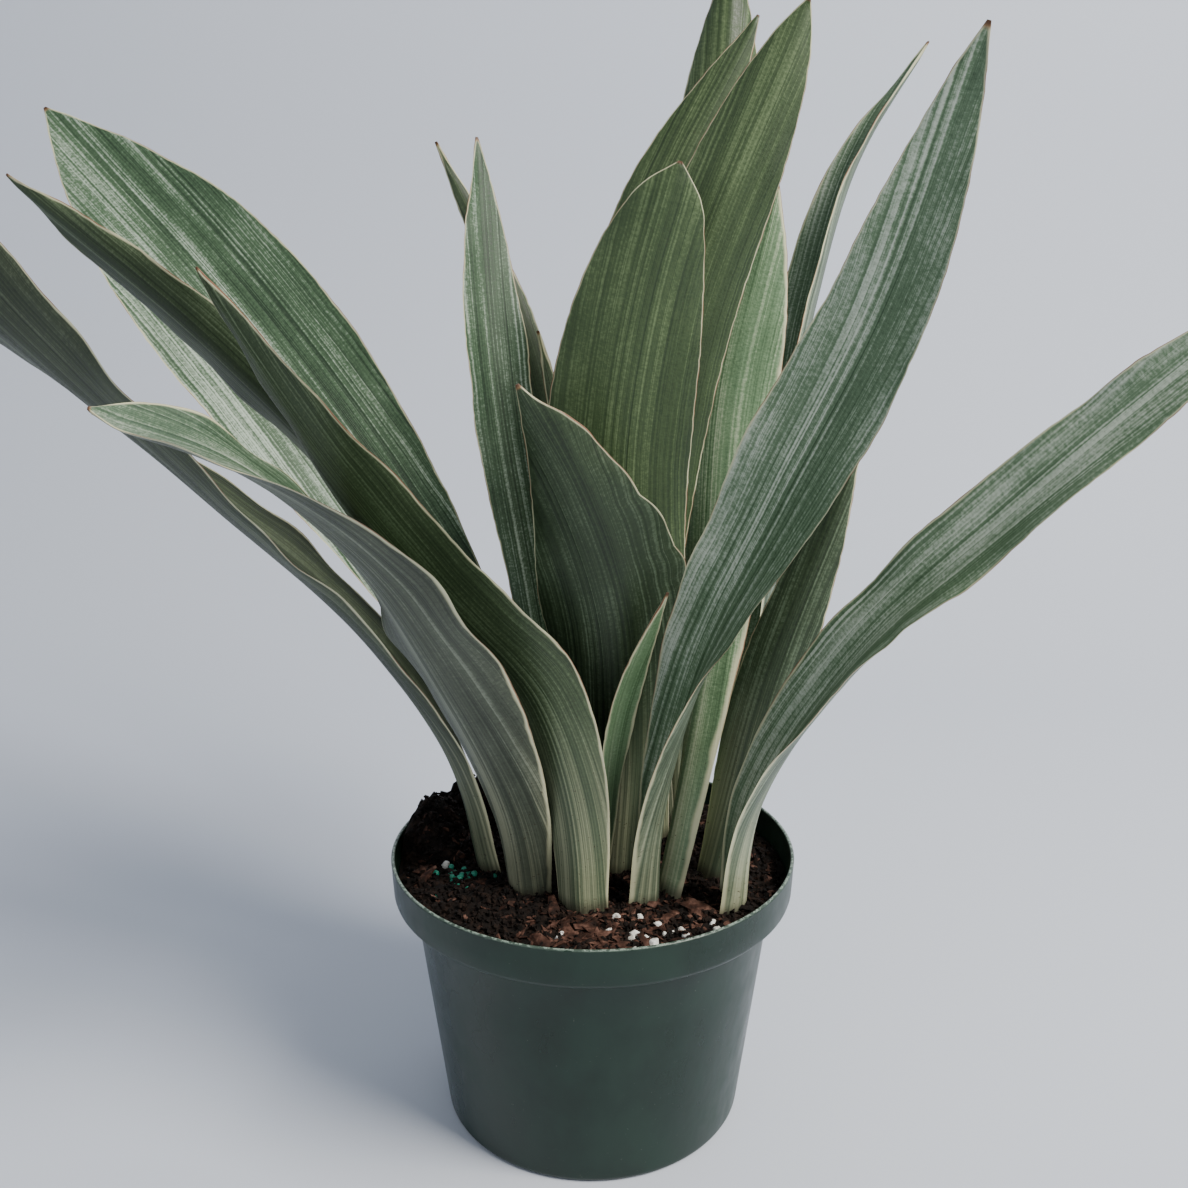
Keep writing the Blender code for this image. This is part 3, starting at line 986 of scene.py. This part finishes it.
@dataclass
class NurseryPot:
    """The thin moulded pot: a tapered body, a ledge, a deep band and a rolled rim."""

    segments: int = 160
    wall: float = 1.3 * MM
    band: float = BAND_HEIGHT
    ledge: float = 8.2 * MM
    foot: float = 58.3 * MM
    foot_round: float = 2.5 * MM
    rim_round: float = 0.72 * MM
    floor: float = 1.8 * MM
    hollow: float = 0.9 * MM
    drain_inset: float = 15.3 * MM
    drain_radius: float = 4.5 * MM
    drains: int = 8
    smooth: float = 50.0
    finish: MouldedPolypropylene = MouldedPolypropylene()

    def profile(self) -> list[tuple[float, float]]:
        """Goes round the wall, up the outside and down the inside.

        Returns:
            Radius and height at each point.
        """
        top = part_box("nursery_pot")[1]
        rim, height = top.x, top.z
        step = height - self.band
        wall = self.wall
        low = self.foot_round
        outside = [(self.foot - 3.6 * MM, 0.4 * MM)]
        outside += arc((self.foot - low, low), low, -90, 18, 6)
        slope = (rim - self.ledge - self.foot) / (step - 4.7 * MM)
        for share in (0.02, 0.25, 0.5, 0.75, 0.98):
            rise = low + (step - 2.2 * MM - low) * share
            outside.append((self.foot + slope * (rise - low), rise))
        outside.append((rim - self.ledge + 0.5 * MM, step - 2.0 * MM))
        for back, up in ((3.4, -1.0), (1.7, -0.5), (0.9, 0.4), (0.6, 1.4), (0.3, 7.25), (0.1, 12.7)):
            outside.append((rim - back * MM, step + up * MM))
        rolled = arc((rim - self.rim_round, height - self.rim_round), self.rim_round, -20, 27.5, 9)
        inside = [
            (rim - wall - 0.2 * MM, height - 2.4 * MM),
            (rim - wall - 0.6 * MM, step + 2.2 * MM),
            (rim - wall - 1.6 * MM, step + 1.0 * MM),
            (rim - self.ledge - wall, step - 0.9 * MM),
            (self.foot - wall, 4.2 * MM),
            (self.foot - wall - 1.2 * MM, 2.3 * MM),
            (self.foot - wall - 3.0 * MM, self.floor),
        ]
        return outside + rolled + inside

    def build(self) -> Object:
        """Turns the wall and cuts the drain holes through its floor.

        Returns:
            The pot as one closed mesh.
        """
        profile = self.profile()
        points = []
        for radius, height in profile:
            for k in range(self.segments):
                turn = 2 * math.pi * k / self.segments
                # A moulded pot of this thinness is never quite round.
                out = radius * (1 + 0.0012 * math.sin(2 * turn + 0.6) * height / 0.1)
                points.append((out * math.cos(turn), out * math.sin(turn), height))
        faces = hoops(self.segments, len(profile))
        under = len(points)
        points += [(0, 0, self.hollow), (0, 0, self.floor)]
        last = under - self.segments
        for k in range(self.segments):
            n = (k + 1) % self.segments
            faces.append((k, under, n))
            faces.append((last + k, last + n, under + 1))
        material = self.finish.build(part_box("nursery_pot")[1].z)
        pot = plain_object("nursery_pot_shell", np.array(points), faces, material, self.smooth)
        face_outward(pot)
        self.cut_drains(pot)
        shade(pot.data, self.smooth)
        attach(pot, BODY)
        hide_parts("nursery_pot")
        return pot

    def cut_drains(self, pot: Object) -> None:
        """Cuts the ring of drain holes with an exact Boolean and applies it.

        Args:
            pot: The pot without its holes.
        """
        work = bmesh.new()
        circle = self.foot - self.drain_inset
        for k in range(self.drains):
            turn = 2 * math.pi * (k + 0.5) / self.drains
            made = bmesh.ops.create_cone(
                work, cap_ends=True, segments=24, radius1=self.drain_radius,
                radius2=self.drain_radius, depth=0.012,
            )
            place = Vector((circle * math.cos(turn), circle * math.sin(turn), 0.001))
            bmesh.ops.translate(work, verts=made["verts"], vec=place)
        mesh = bpy.data.meshes.new("drain_cutter")
        work.to_mesh(mesh)
        work.free()
        cutter = linked("drain_cutter", mesh)
        cut = pot.modifiers.new("drains", "BOOLEAN")
        cut.operation = "DIFFERENCE"
        cut.solver = "EXACT"
        cut.object = cutter
        cut_mesh = evaluated_mesh(pot)
        pot.modifiers.clear()
        pot.data = cut_mesh
        bpy.data.objects.remove(cutter)


# ---------------------------------------------------------------- potting mix


@dataclass(frozen=True)
class Patch:
    """A place on the mix, in metres, where some of the loose matter gathers."""

    x: float
    y: float
    radius: float
    weight: float = 1.0


@dataclass(frozen=True)
class Scatter:
    """One kind of loose matter strewn over the mix, its sizes in millimetres.

    The shape is a grain's length, width and height. The base is how much lies away from
    the patches, and the sink is the share of its height that a grain is buried by.
    """

    name: str
    finish: Crumb
    count: int
    smallest: float
    largest: float
    shape: tuple
    corners: int
    seed: int
    patches: tuple = ()
    base: float = 1.0
    sink: float = 0.2
    tilt: float = 0.5
    rounded: bool = False
    varieties: int = 5


class ScatterTree:
    """Geometry Nodes that strew grains over a surface: spread, turn, scale, realise, dress."""

    SOCKETS = (
        ("Density", "NodeSocketFloat"),
        ("Seed", "NodeSocketInt"),
        ("Smallest", "NodeSocketFloat"),
        ("Largest", "NodeSocketFloat"),
        ("Tilt", "NodeSocketFloat"),
        ("Grains", "NodeSocketCollection"),
        ("Material", "NodeSocketMaterial"),
    )

    def __init__(self) -> None:
        """Builds the tree once, for every kind of grain."""
        self.tree = bpy.data.node_groups.new("strewn_grains", "GeometryNodeTree")
        face = self.tree.interface
        face.new_socket("Geometry", in_out="INPUT", socket_type="NodeSocketGeometry")
        for name, kind in self.SOCKETS:
            face.new_socket(name, in_out="INPUT", socket_type=kind)
        face.new_socket("Geometry", in_out="OUTPUT", socket_type="NodeSocketGeometry")
        self.wire()

    def wire(self) -> None:
        """Adds and links the nodes."""
        tree = self.tree
        given = add(tree, "NodeGroupInput").outputs
        share = add(tree, "GeometryNodeInputNamedAttribute", {"Name": "share"}, data_type="FLOAT")
        spread = add(tree, "GeometryNodeDistributePointsOnFaces", {
            "Mesh": given["Geometry"],
            "Density": add(tree, "ShaderNodeMath", {
                0: given["Density"], 1: share.outputs["Attribute"],
            }, operation="MULTIPLY").outputs[0],
            "Seed": given["Seed"],
        }, distribute_method="RANDOM")
        grains = add(tree, "GeometryNodeCollectionInfo", {
            "Collection": given["Grains"], "Separate Children": True, "Reset Children": True,
        })
        spin = add(tree, "FunctionNodeRandomValue", {
            "Min": (0, 0, 0), "Max": (1, 1, 2 * math.pi), "Seed": given["Seed"],
        }, data_type="FLOAT_VECTOR")
        lean = add(tree, "ShaderNodeVectorMath", {
            0: spin.outputs[0],
            1: add(tree, "ShaderNodeCombineXYZ", {
                "X": given["Tilt"], "Y": given["Tilt"], "Z": 1.0,
            }).outputs[0],
        }, operation="MULTIPLY")
        size = add(tree, "FunctionNodeRandomValue", {
            2: given["Smallest"], 3: given["Largest"], "Seed": given["Seed"],
        }, data_type="FLOAT")
        placed = add(tree, "GeometryNodeInstanceOnPoints", {
            "Points": spread.outputs["Points"],
            "Instance": grains.outputs[0],
            "Pick Instance": True,
            "Rotation": spread.outputs["Rotation"],
            "Scale": size.outputs[1],
        })
        turned = add(tree, "GeometryNodeRotateInstances", {
            "Instances": placed.outputs[0], "Rotation": lean.outputs[0], "Local Space": True,
        })
        solid = add(tree, "GeometryNodeRealizeInstances", {"Geometry": turned.outputs[0]})
        dressed = add(tree, "GeometryNodeSetMaterial", {
            "Geometry": solid.outputs[0], "Material": given["Material"],
        })
        add(tree, "NodeGroupOutput", {"Geometry": dressed.outputs[0]})

    def strew(
        self, surface: Object, kind: Scatter, grains: bpy.types.Collection, density: float
    ) -> Object:
        """Runs the tree over a surface.

        Args:
            surface: The surface, with a "share" attribute.
            kind: The loose matter.
            grains: A collection of its grains.
            density: Grains for each square metre.

        Returns:
            The strewn grains as one plain mesh.
        """
        values = {
            "Density": density,
            "Seed": kind.seed,
            "Smallest": kind.smallest * MM,
            "Largest": kind.largest * MM,
            "Tilt": kind.tilt,
            "Grains": grains,
            "Material": kind.finish.build(),
        }
        modifier = surface.modifiers.new(kind.name, "NODES")
        modifier.node_group = self.tree
        for item in self.tree.interface.items_tree:
            if item.in_out == "INPUT" and item.name in values:
                modifier[item.identifier] = values[item.name]
        surface.update_tag()
        bpy.context.view_layer.update()
        mesh = evaluated_mesh(surface)
        surface.modifiers.clear()
        mesh.name = kind.name
        return linked(kind.name, mesh)


@dataclass
class PottingMix:
    """Bark and compost mix: a crumbly surface, and the loose matter that lies on it."""

    rings: int = 90
    turns: int = 240
    crumble: float = 1.1
    seed: int = 12
    smooth: float = 60.0
    finish: Crumb = COMPOST
    kinds: tuple = (
        Scatter("compost_crumbs", COMPOST, 5200, 1.0, 3.2, (1.0, 0.9, 0.8), 9, 3, sink=0.1),
        Scatter("composted_bark_bits", DARK_BARK, 1500, 2.5, 6.5, (1.0, 0.42, 0.24), 14, 5, tilt=0.6),
        Scatter(
            "pine_bark_bits", PINE_BARK, 760, 2.5, 8.0, (1.0, 0.42, 0.20), 14, 7, base=0.30, tilt=0.6,
            patches=(
                Patch(0.010, -0.052, 0.024, 3.0),
                Patch(0.062, -0.010, 0.020, 0.6),
            ),
        ),
        Scatter(
            "pine_bark_chips", PINE_BARK, 66, 8.0, 19.0, (1.0, 0.36, 0.14), 18, 11, base=0.12, tilt=0.3,
            patches=(
                Patch(0.000, -0.053, 0.014, 6.0),
                Patch(0.030, -0.050, 0.010, 3.0),
                Patch(-0.064, -0.004, 0.008, 2.0),
            ),
        ),
        Scatter(
            "perlite_grains", PERLITE, 30, 2.2, 5.2, (1.0, 0.88, 0.80), 46, 17, base=0.02, tilt=3.0,
            patches=(
                Patch(-0.016, -0.0535, 0.004, 24.0),
                Patch(0.020, -0.050, 0.009, 8.0),
                Patch(0.044, -0.050, 0.007, 9.0),
                Patch(0.060, -0.020, 0.008, 1.5),
            ),
        ),
        Scatter(
            "fertiliser_prills", PRILL, 30, 2.2, 3.2, (1.0, 1.0, 0.95), 0, 19, base=0.0, tilt=3.0,
            patches=(Patch(-0.050, -0.012, 0.010, 1.0),), rounded=True,
        ),
    )

    def level(self, x: np.ndarray, y: np.ndarray) -> np.ndarray:
        """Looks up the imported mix's height, passing over the leaves' sockets.

        Args:
            x: Places along X.
            y: Places along Y.

        Returns:
            The height at each place.
        """
        points, faces = merged_points("potting_mix")
        packed = BVHTree.FromPolygons([Vector(p) for p in points], faces)
        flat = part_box("nursery_pot")[1].z - MIX_BELOW_RIM
        heights = np.full(x.shape, flat)
        for place in np.ndindex(x.shape):
            from_above = Vector((x[place] * 0.995, y[place] * 0.995, 0.2))
            hit = packed.ray_cast(from_above, Vector((0, 0, -1)))[0]
            # A hit any lower is the floor of a socket.
            if hit is not None and hit.z > flat - 4 * MM:
                heights[place] = hit.z
        return heights

    def crumbled(self, x: np.ndarray, y: np.ndarray) -> np.ndarray:
        """Adds up ripples that run every way, in four sizes, for a crumbly surface.

        Args:
            x: Places along X.
            y: Places along Y.

        Returns:
            A roughness of about one at each place.
        """
        rng = np.random.default_rng(self.seed)
        rough = np.zeros_like(x)
        for size, strength in ((9.0, 0.9), (4.5, 0.7), (2.2, 0.5), (1.3, 0.35)):
            for _ in range(5):
                angle = rng.uniform(0, math.pi * 2)
                wave = 2 * math.pi / (size * rng.uniform(0.7, 1.3) * MM)
                phase = rng.uniform(0, math.pi * 2)
                rough += strength * np.sin((x * math.cos(angle) + y * math.sin(angle)) * wave + phase) / 5
        return rough

    def surface(self) -> Object:
        """The crumbly top of the mix, from its middle out to the pot's wall.

        Returns:
            An open sheet that the loose matter is strewn over.
        """
        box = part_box("potting_mix")
        edge = min(box[1].x, box[1].y)
        radii = edge * np.linspace(0, 1, self.rings + 1)[1:, None]
        turns = 2 * math.pi * np.arange(self.turns) / self.turns
        x = radii * np.cos(turns)
        y = radii * np.sin(turns)
        heights = self.level(x, y)
        raised = np.clip((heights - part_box("nursery_pot")[1].z + MIX_BELOW_RIM) / 0.006, 0, 1)
        heights = heights + self.crumbled(x, y) * self.crumble * MM * (1 + 1.2 * raised)
        heights = heights - np.clip((radii / edge - 0.96) / 0.04, 0, 1) * 0.0006
        points = [(0, 0, heights[0].mean()), *np.stack([x, y, heights], axis=-1).reshape(-1, 3)]
        faces = []
        for j in range(self.turns):
            n = (j + 1) % self.turns
            faces.append((0, 1 + j, 1 + n))
            for low in range(1, 1 + (self.rings - 1) * self.turns, self.turns):
                high = low + self.turns
                faces.append((low + j, high + j, high + n, low + n))
        return plain_object("potting_mix_top", points, faces, self.finish.build(), self.smooth)

    def body(self, sheet: Object) -> None:
        """Closes the sheet into a solid that fills the pot below it.

        Args:
            sheet: The top of the mix.
        """
        mesh = sheet.data
        points = [v.co.copy() for v in mesh.vertices]
        faces = [tuple(p.vertices) for p in mesh.polygons]
        low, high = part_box("potting_mix")
        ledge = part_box("nursery_pot")[1].z - BAND_HEIGHT
        walls = (
            (high.x - 1.5 * MM, ledge + 3.0 * MM),
            (high.x - 8.5 * MM, ledge + 0.5 * MM),
            (high.x - 18.5 * MM, low.z + 3.0 * MM),
            (high.x - 21.0 * MM, low.z + 0.3 * MM),
        )
        for radius, height in walls:
            for j in range(self.turns):
                turn = 2 * math.pi * j / self.turns
                points.append(Vector((radius * math.cos(turn), radius * math.sin(turn), height)))
        faces += hoops(self.turns, len(walls) + 1, 1 + (self.rings - 1) * self.turns)
        last = len(points) - self.turns
        points.append(Vector((0, 0, low.z + 0.3 * MM)))
        for j in range(self.turns):
            faces.append((last + j, last + self.turns, last + (j + 1) % self.turns))
        whole = bpy.data.meshes.new("potting_mix_fill")
        whole.from_pydata(points, [], faces)
        whole.materials.append(mesh.materials[0])
        sheet.data = whole
        face_outward(sheet)
        shade(whole, self.smooth)

    def grain(self, kind: Scatter, number: int, holder: bpy.types.Collection) -> None:
        """Makes one grain of a kind, one unit long: a broken chip, or a rounded bead.

        Args:
            kind: The loose matter.
            number: Which of its varieties this is.
            holder: The collection that it goes into.
        """
        rng = np.random.default_rng(kind.seed * 100 + number)
        work = bmesh.new()
        if kind.rounded:
            bmesh.ops.create_icosphere(work, subdivisions=2, radius=0.5)
            bmesh.ops.scale(work, verts=work.verts[:], vec=kind.shape)
        else:
            for _ in range(kind.corners):
                spot = rng.normal(size=3)
                spot /= np.linalg.norm(spot)
                spot *= 0.5 * rng.uniform(0.75, 1.0) * np.array(kind.shape)
                work.verts.new(spot)
            made = bmesh.ops.convex_hull(work, input=work.verts[:])
            spare = made["geom_interior"] + made["geom_unused"]
            loose = {g for g in spare if isinstance(g, bmesh.types.BMVert)}
            bmesh.ops.delete(work, geom=list(loose), context="VERTS")
        bmesh.ops.translate(work, verts=work.verts[:], vec=(0, 0, kind.shape[2] * (0.5 - kind.sink)))
        bmesh.ops.recalc_face_normals(work, faces=work.faces[:])
        mesh = bpy.data.meshes.new(f"{kind.name}_{number}")
        work.to_mesh(mesh)
        work.free()
        if kind.rounded:
            mesh.shade_smooth()
        holder.objects.link(bpy.data.objects.new(mesh.name, mesh))

    def share(self, sheet: Object, kind: Scatter) -> float:
        """Stores how much of a kind lies at each point, and finds the density for its count.

        Args:
            sheet: The top of the mix.
            kind: The loose matter.

        Returns:
            Grains for each square metre where the share is one.
        """
        mesh = sheet.data
        x, y = np.array([v.co.xy for v in mesh.vertices], float).T
        weight = np.full(len(x), kind.base)
        for patch in kind.patches:
            away = (x - patch.x) ** 2 + (y - patch.y) ** 2
            weight += patch.weight * np.exp(-away / patch.radius**2)
        reach = kind.largest * MM * 0.45
        weight *= np.clip((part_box("potting_mix")[1].x - reach - np.hypot(x, y)) / 0.002, 0, 1)
        if "share" in mesh.attributes:
            mesh.attributes.remove(mesh.attributes["share"])
        write_attribute(mesh, "share", weight)
        total = 0.0
        for face in mesh.polygons:
            total += face.area * float(np.mean(weight[list(face.vertices)]))
        return kind.count / total

    def build(self) -> list[Object]:
        """Makes the mix and everything strewn on it.

        Returns:
            The pieces, the fill first.
        """
        sheet = self.surface()
        tree = ScatterTree()
        made = [sheet]
        for kind in self.kinds:
            holder = bpy.data.collections.new("grains_of_" + kind.name)
            for number in range(kind.varieties):
                self.grain(kind, number, holder)
            strewn = tree.strew(sheet, kind, holder, self.share(sheet, kind))
            for grain in list(holder.objects):
                bpy.data.objects.remove(grain)
            bpy.data.collections.remove(holder)
            made.append(strewn)
        self.body(sheet)
        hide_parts("potting_mix")
        for piece in made:
            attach(piece, BODY)
        return made


# ---------------------------------------------------------------- studio


@dataclass
class Studio:
    """A plain pale sweep, soft light from the upper right and a dimmer fill, and the camera."""

    eye: tuple = (0.0005, -0.4123, 0.3129)
    pitch: float = 14.63
    lens: float = 35.3
    sensor: float = 36.0
    sweep_colour: str = "#cfd5e0"
    sky_colour: str = "#ccd2da"
    sky_strength: float = 0.60
    floor_front: float = -2.0
    floor_back: float = 0.45
    bend: float = 0.5
    wall_top: float = 2.6
    half_width: float = 3.0
    aim: tuple = (0, 0, 0.2)

    def sweep(self) -> Object:
        """The floor, curving up behind the plant.

        Returns:
            The sweep.
        """
        paint = Painter("matt_paper")
        paint.feed(Base_Color=srgb(self.sweep_colour), Roughness=0.9, Specular_IOR_Level=0.2)
        outline = [(self.floor_front, 0.0)]
        outline += arc((self.floor_back, self.bend), self.bend, -90, 7.5, 13)
        outline.append((self.floor_back + self.bend, self.wall_top))
        points = [(x, y, z) for y, z in outline for x in (-self.half_width, self.half_width)]
        faces = [(2 * i, 2 * i + 1, 2 * i + 3, 2 * i + 2) for i in range(len(outline) - 1)]
        floor = plain_object("paper_sweep", np.array(points), faces, paint.material, 60.0)
        return floor

    def lamp(self, name: str, place: tuple, size: float, power: float, colour: str) -> None:
        """A square soft light aimed at the middle of the plant.

        Args:
            name: The light's name.
            place: Where it stands.
            size: Length of its side in metres.
            power: Its power in watts.
            colour: Its colour as a hex.
        """
        data = bpy.data.lights.new(name, "AREA")
        data.size = size
        data.energy = power
        data.color = srgb(colour)[:3]
        lamp = linked(name, data)
        lamp.location = place
        lamp.rotation_euler = (Vector(self.aim) - Vector(place)).to_track_quat("-Z", "Y").to_euler()

    def build(self) -> None:
        """Sets the stage, the lights, the sky and the camera."""
        self.sweep()
        self.lamp("key_window", (1.15, -0.7, 1.5), 0.9, 60.0, "#fffaf2")
        self.lamp("fill_room", (-1.4, -1.3, 0.9), 1.4, 4.0, "#f2f5ff")
        world = bpy.data.worlds.new("soft_room")
        world.use_nodes = True
        sky = world.node_tree.nodes["Background"]
        sky.inputs["Color"].default_value = srgb(self.sky_colour)
        sky.inputs["Strength"].default_value = self.sky_strength
        bpy.context.scene.world = world
        data = bpy.data.cameras.new("camera")
        data.lens = self.lens
        data.sensor_width = self.sensor
        data.clip_start = 0.01
        camera = linked("camera", data)
        camera.location = self.eye
        camera.rotation_euler = (math.radians(90 - self.pitch), 0, 0)
        bpy.context.scene.camera = camera


# ---------------------------------------------------------------- the plant


def leaves() -> list[Leaf]:
    """Every leaf of the plant with its colour, its ripple and its own dents.

    Returns:
        The leaves.
    """
    return [
        Leaf("leaf_left_low", Tone.GREEN, SHADED_GREEN, 1, ripple=1.2),
        Leaf("leaf_left_broad", Tone.SILVER, DEEP, 2, ripple=0.8),
        Leaf("leaf_left_pointed", Tone.GREEN, GREEN, 3, ripple=0.9),
        Leaf("leaf_left_wavy", Tone.SILVER, GREY, 4, ripple=1.4, dents=(
            Dent(0.60, 0.07, 3.5, 1, 2.5),
            Dent(0.49, 0.05, -2.0, 1, -1.5),
            Dent(0.84, 0.05, 2.0, 0, 1.5),
        )),
        Leaf("leaf_left_front", Tone.GREEN, GREEN, 5, ripple=0.9),
        Leaf("leaf_back_narrow", Tone.SILVER, DEEP, 6),
        Leaf("leaf_back_crossing", Tone.GREEN, GREEN, 7, ripple=0.5),
        Leaf("leaf_back_short", Tone.GREEN, GREEN, 8, ripple=0.5),
        Leaf("leaf_front_short", Tone.OLIVE, SHADED_OLIVE, 9, ripple=0.8, dents=(
            Dent(0.90, 0.05, -2.4, 1),
            Dent(0.80, 0.025, -1.4, 1),
            Dent(0.73, 0.03, 2.2, 1),
            Dent(0.645, 0.018, -1.4, 1),
            Dent(0.60, 0.02, 1.0, 1),
        )),
        Leaf("leaf_centre_tall", Tone.OLIVE, OLIVE, 10, ripple=0.8),
        Leaf("leaf_centre_right", Tone.OLIVE, OLIVE, 11, ripple=0.8),
        Leaf("leaf_centre_back", Tone.GREEN, OLIVE, 12, ripple=0.8),
        Leaf("leaf_centre_folded", Tone.PALE, OLIVE, 13, ripple=0.6),
        Leaf("leaf_right_upright", Tone.PALE, RIBBED, 14, ripple=0.5),
        Leaf("leaf_right_broad", Tone.SILVER, SILVER, 15, ripple=0.8),
        Leaf("leaf_right_folded", Tone.SILVER, SILVER, 16, ripple=0.5),
        Leaf("leaf_right_low", Tone.SILVER, SILVER, 17, ripple=1.0, dents=(
            Dent(0.47, 0.04, -1.5, 1),
            Dent(0.56, 0.05, 2.2, 1),
        )),
        Leaf("leaf_right_dark", Tone.OLIVE, SHADED_OLIVE, 18, ripple=0.4),
        Leaf("leaf_front_young", Tone.PALE, PALE, 19, ripple=0.4),
    ]


def main() -> None:
    """Builds the pot, the mix, the leaves and the studio, and reports each piece."""
    logging.basicConfig(level=logging.INFO, format="%(name)s: %(message)s")
    made = [NurseryPot().build()]
    made += PottingMix().build()
    for leaf in leaves():
        made.append(leaf.build())
    for piece in made:
        LOG.info("%s: %d faces", piece.name, len(piece.data.polygons))
    Studio().build()


if __name__ == "__main__":
    main()
